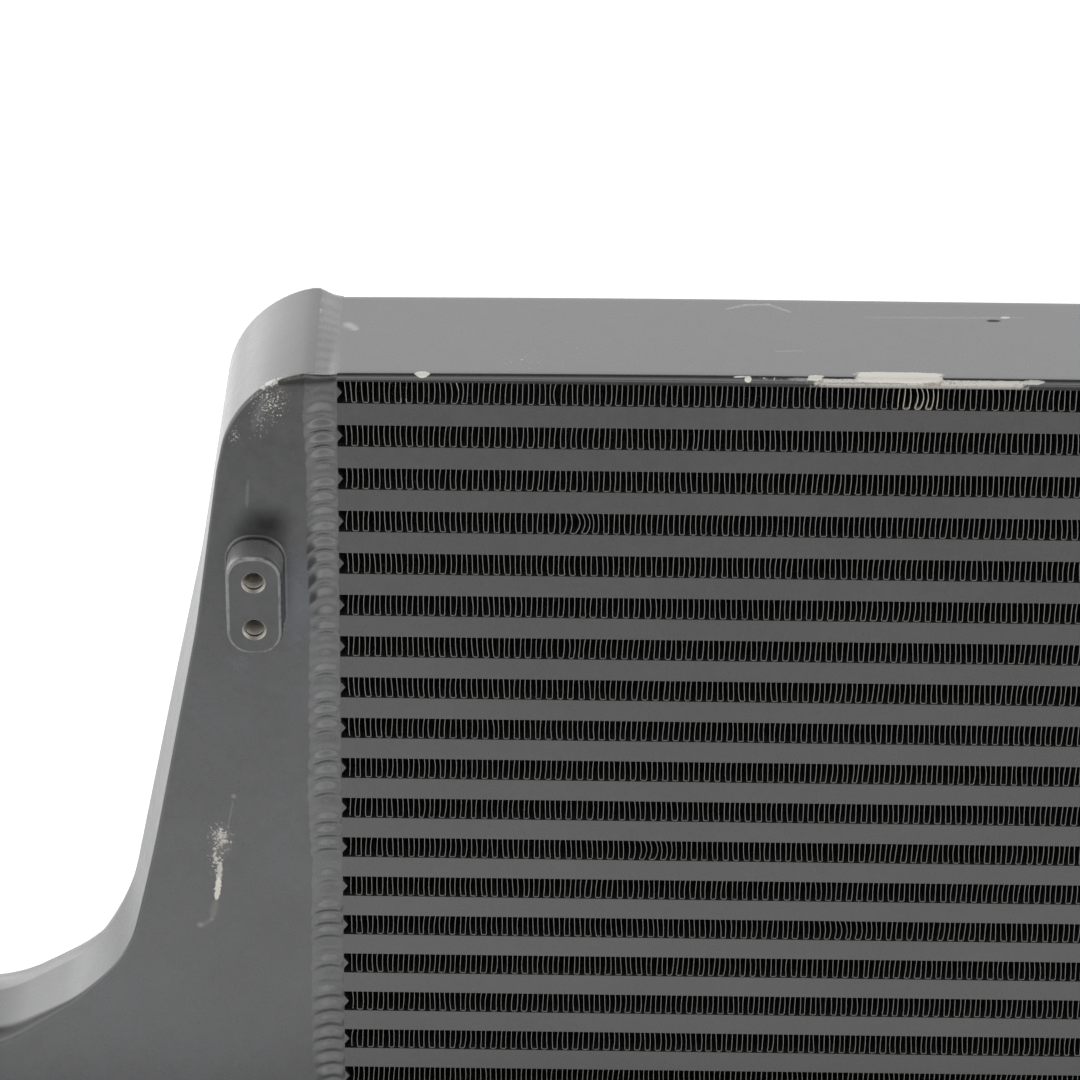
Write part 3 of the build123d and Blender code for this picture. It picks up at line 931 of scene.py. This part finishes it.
for side in ("left", "right"):
    placed = (verts, faces) if side == "left" else mirrored(verts, faces)
    casting = new_piece(f"{side}_tank_casting", *placed, tank_paint)
    mount = bmesh.new()
    add_boss(mount)
    threads = bmesh.new()
    for hole in (-1, 1):
        thread_mesh(threads, hole)
    for builder, label, finish in ((mount, "boss", tank_paint), (threads, "threads", thread_metal)):
        if side == "right":
            bmesh.ops.scale(builder, vec=(-1, 1, 1), verts=builder.verts)
        bmesh.ops.recalc_face_normals(builder, faces=builder.faces)
        mesh = bpy.data.meshes.new(f"{side}_{label}")
        builder.to_mesh(mesh)
        builder.free()
        mesh.materials.append(finish)
        piece = bpy.data.objects.new(f"{side}_{label}", mesh)
        bpy.context.scene.collection.objects.link(piece)
        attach(piece, root)
    even = casting.modifiers.new("even_shading", "WEIGHTED_NORMAL")
    even.keep_sharp = True
    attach(casting, root)
    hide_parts(f"{side}_tank")

# ---------------------------------------------------------------------------------------
# Weld beads: hand-laid aluminium bead that joins each tank to the core's end, left as
# welded and painted over. It ripples up the front and back and is flatter over the top.

BEAD_SHIFT = 2.0            # its middle lies this far over the core from the core's end
BEAD_HALF = 6.0
BEAD_SPREAD = 8.0           # over the top, the bead runs out this far over the plate
BEAD_HEIGHT = 1.0
RIPPLE_PITCH = 6.3
RIPPLE_HEIGHT = 1.05
RIPPLE_TOP = 0.42           # where in its length each ripple is highest
RIPPLE_CREST = 0.2          # share of the half width at which each arched ripple is highest
RIPPLE_FALL = (4.6, 1.6)    # how far it falls towards the tank and towards the core
CREASE = 0.12               # depth of the groove between two ripples
GROOVE = 0.17               # half width of the groove between ripples, in ripples
BEAD_COLUMNS = 19           # of vertices across a bead
CORNER = 1.6


def bead_frame(travel):
    """Point and outward direction at a distance along the bead, as (Y, Z) pairs."""
    rise = CORE_TOP - CORNER
    turn = math.pi / 2 * CORNER
    over = 2 * (HALF_DEPTH - CORNER)
    if travel < rise:
        return (-HALF_DEPTH, travel), (-1.0, 0.0)
    if travel < rise + turn:
        angle = (travel - rise) / CORNER
        way = (-math.cos(angle), math.sin(angle))
        return (-HALF_DEPTH + CORNER + CORNER * way[0], rise + CORNER * way[1]), way
    if travel < rise + turn + over:
        return (-HALF_DEPTH + CORNER + travel - rise - turn, CORE_TOP), (0.0, 1.0)
    if travel < rise + 2 * turn + over:
        angle = (travel - rise - turn - over) / CORNER
        way = (math.sin(angle), math.cos(angle))
        return (HALF_DEPTH - CORNER + CORNER * way[0], rise + CORNER * way[1]), way
    return (HALF_DEPTH, CORE_TOP - CORNER - (travel - rise - 2 * turn - over)), (1.0, 0.0)


def ripple_at(travel, share, shifts, strengths):
    """Height of the ripples at a place on the bead, with the groove before each one."""
    side = 0 if share < RIPPLE_CREST else 1
    span = RIPPLE_CREST + 1 if side == 0 else 1 - RIPPLE_CREST
    fall = RIPPLE_FALL[side] * (abs(share - RIPPLE_CREST) / span) ** 2
    place = (travel + shifts + fall) / RIPPLE_PITCH
    cycle = place % 1.0
    strength = strengths[int(place) % len(strengths)]
    rise = 0.5 + 0.5 * math.cos(math.pi * (cycle - RIPPLE_TOP)
                                / (RIPPLE_TOP if cycle < RIPPLE_TOP else 1 - RIPPLE_TOP))
    groove = math.exp(-(min(cycle, 1 - cycle) / GROOVE) ** 2)
    return strength * (RIPPLE_HEIGHT * rise - CREASE * groove)


def bead_mesh():
    """Rippled skin of the left bead."""
    chooser = random.Random(7)
    total = 2 * CORE_TOP + 2 * HALF_DEPTH - CORNER * (4 - math.pi)
    steps = int(total / 0.5)
    shifts = 2.2 * smooth_noise(steps + 1, 40, chooser)
    height_noise = smooth_noise(steps + 1, 30, chooser)
    side_noise = smooth_noise(steps + 1, 34, chooser)
    lumps = [smooth_noise(steps + 1, 12, chooser) for _ in range(3)]
    strengths = [chooser.choice((0.4, 0.7, 0.9, 1.0, 1.2)) for _ in range(211)]
    outline = upper_outline()
    verts = []
    for step in range(steps + 1):
        travel = total * step / steps
        (at_y, at_z), (way_y, way_z) = bead_frame(travel)
        over_top = eased(way_z, 0.1, 0.95)
        depth_share = min(1.0, max(0.0, (at_y + HALF_DEPTH) / (2 * HALF_DEPTH)))
        for share in np.linspace(-1, 1, BEAD_COLUMNS):
            wide = BEAD_SHIFT + BEAD_HALF * share + (0.5 - 0.5 * share) * side_noise[step]
            if share > 0:
                wide += (BEAD_SPREAD - BEAD_HALF - BEAD_SHIFT) * share * over_top
            body = max(0.0, 1 - share * share) ** (1.5 if share < 0 else 0.6)
            lump = 0.16 * sum(noise[step] * math.cos(2.4 * k * share + k)
                              for k, noise in enumerate(lumps))
            ripple = body * (ripple_at(travel, share, shifts[step], strengths) + lump)
            front = body * BEAD_HEIGHT * (0.8 + 0.2 * height_noise[step]) + ripple - 0.12
            skin = -float(np.interp(max(0.0, -wide), outline[:, 0], outline[:, 1]))
            skin -= draft_at(0, -CREST) * (1 - depth_share)
            ramp = eased(wide, -2.0, BEAD_SPREAD - 0.8)
            plate = -plate_sag(CORE_END - max(0.0, wide), at_y)
            over = skin * (1 - ramp) + plate * ramp
            if wide > -0.5:
                over = max(over, plate)
            over += 0.06 * ripple + 0.2 * body - 0.1 * abs(share) ** 6
            height = front * (1 - over_top) + over * over_top
            verts.append((-CORE_END + wide, at_y + way_y * height, at_z + way_z * height))
    count = BEAD_COLUMNS
    faces = [(s * count + c, s * count + c + 1, (s + 1) * count + c + 1, (s + 1) * count + c)
             for s in range(steps) for c in range(count - 1)]
    return verts, faces


bead_marks = [
    # Painted shadow under the tank's top edge, carried on over the bead.
    streak(SHADED, 0.75, (-0.296, -0.0306, 0.352), (-0.281, -0.0306, 0.353), 0.0024, Taper=0.3,
            Scale=160, Ragged=0.6, Sharp=1.3),
    streak(PALE, 0.55, (-0.2806, 0.0106, 0.3562), (-0.276, 0.0045, 0.356), 0.0028, Taper=0.9,
            Scale=260, Ragged=0.9, Sharp=1.2),
    spot(PALE, 0.35, (-0.2916, 0.005, 0.359), (0.003, 0.005, 0.003), Scale=260, Ragged=1.4,
         Cover=0.6, Sharp=1.4),
    spot(CREAM, 0.9, (-0.2885, 0.005, 0.358), (0.004, 0.032, 0.006), Scale=800, Ragged=8,
         Cover=-0.4, Sharp=5),
]
bead_paint = painted("weld_bead_paint", (0.046, 0.0465, 0.048), (0.08, 0.082, 0.086), bead_marks,
                     Grain=0.25, Casting=0.06)
verts, faces = bead_mesh()
for side in ("left", "right"):
    placed = (verts, faces) if side == "left" else mirrored(verts, faces)
    bead = new_piece(f"{side}_bead", *placed, bead_paint)
    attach(bead, root)
    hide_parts(f"{side}_weld_bead")

# ---------------------------------------------------------------------------------------
# Stage: a white floor under soft, even studio light that comes from low all round and is
# strongest from behind, with the ceiling dark.

FLOOR_HALF = 2.2
floor_mesh = bpy.data.meshes.new("floor")
floor_mesh.from_pydata([(-FLOOR_HALF, -FLOOR_HALF, 0), (FLOOR_HALF, -FLOOR_HALF, 0),
                        (FLOOR_HALF, FLOOR_HALF, 0), (-FLOOR_HALF, FLOOR_HALF, 0)],
                       [], [(0, 1, 2, 3)])
floor = bpy.data.objects.new("floor", floor_mesh)
floor.location.z = -0.0004
bpy.context.scene.collection.objects.link(floor)
floor_finish, tree, shader = new_material("floor_white")
shader["Base Color"].default_value = (0.8, 0.8, 0.8, 1)
shader["Roughness"].default_value = 0.9
shader["Specular IOR Level"].default_value = 0.0
shader["Emission Color"].default_value = (1, 1, 1, 1)
rays = node(tree, "LightPath").outputs
# Seen only in reflections, the floor glows as painted light: fading out far in front, brighter
# behind, and dark right round the object as a painted contact shadow.
ahead = separate(tree, coordinates(tree))["Y"]
clear_of_painted_shadow = ramp(tree, calculate(tree, "ABSOLUTE", ahead), 0.05, 0.15)
near_light = times(tree, ramp(tree, ahead, -0.65, -0.05, 0.0, 0.8), clear_of_painted_shadow)
far_light = times(tree, ramp(tree, ahead, 0.35, 0.75, -0.3, 0.3),
                  calculate(tree, "GREATER_THAN", ahead, 0.0))
mirrored_rays = calculate(tree, "MAXIMUM", rays["Is Glossy Ray"], rays["Is Transmission Ray"])
mirrored_light = times(tree, calculate(tree, "ADD", near_light, far_light), mirrored_rays)
feed(tree, shader["Emission Strength"],
     calculate(tree, "MAXIMUM", mirrored_light, times(tree, rays["Is Camera Ray"], 0.6)))
floor_mesh.materials.append(floor_finish)

world = bpy.data.worlds.new("studio")
bpy.context.scene.world = world
world.use_nodes = True
tree = world.node_tree
SMOOTH = dict(interpolation_type="SMOOTHSTEP")
way = separate(tree, coordinates(tree, "Generated"))
front = ramp(tree, way["Z"], 0.05, 0.4, 1.5, 0.7)
back = ramp(tree, way["Z"], 0.15, 0.48, 1.95, 1.6)
behind = ramp(tree, way["Y"], -0.1, 0.7, **SMOOTH)
ahead = calculate(tree, "SUBTRACT", 1.0, behind)
around = calculate(tree, "ADD", times(tree, back, behind), times(tree, front, ahead))
leftward = ramp(tree, way["X"], -0.06, -0.24, 1.0, 1.2, **SMOOTH)
ceiling = ramp(tree, way["Z"], 0.64, 0.9, 1.0, 0.12, **SMOOTH)
level = times(tree, times(tree, around, leftward), ceiling)
shown = calculate(tree, "MAXIMUM", level, node(tree, "LightPath").outputs["Is Camera Ray"])
background = tree.nodes["Background"].inputs
background["Color"].default_value = (1, 1, 1, 1)
feed(tree, background["Strength"], shown)

# ---------------------------------------------------------------------------------------
# Camera, and the Standard view transform.

camera_data = bpy.data.cameras.new("camera")
camera_data.lens = 164.1
camera_data.sensor_width = 36.0
camera = bpy.data.objects.new("camera", camera_data)
camera.location = (-0.20654, -1.52446, 1.14684)
camera.rotation_euler = [math.radians(angle) for angle in (60.1796, -0.5697, 0.4431)]
bpy.context.scene.collection.objects.link(camera)
bpy.context.scene.camera = camera
bpy.context.scene.view_settings.view_transform = "Standard"
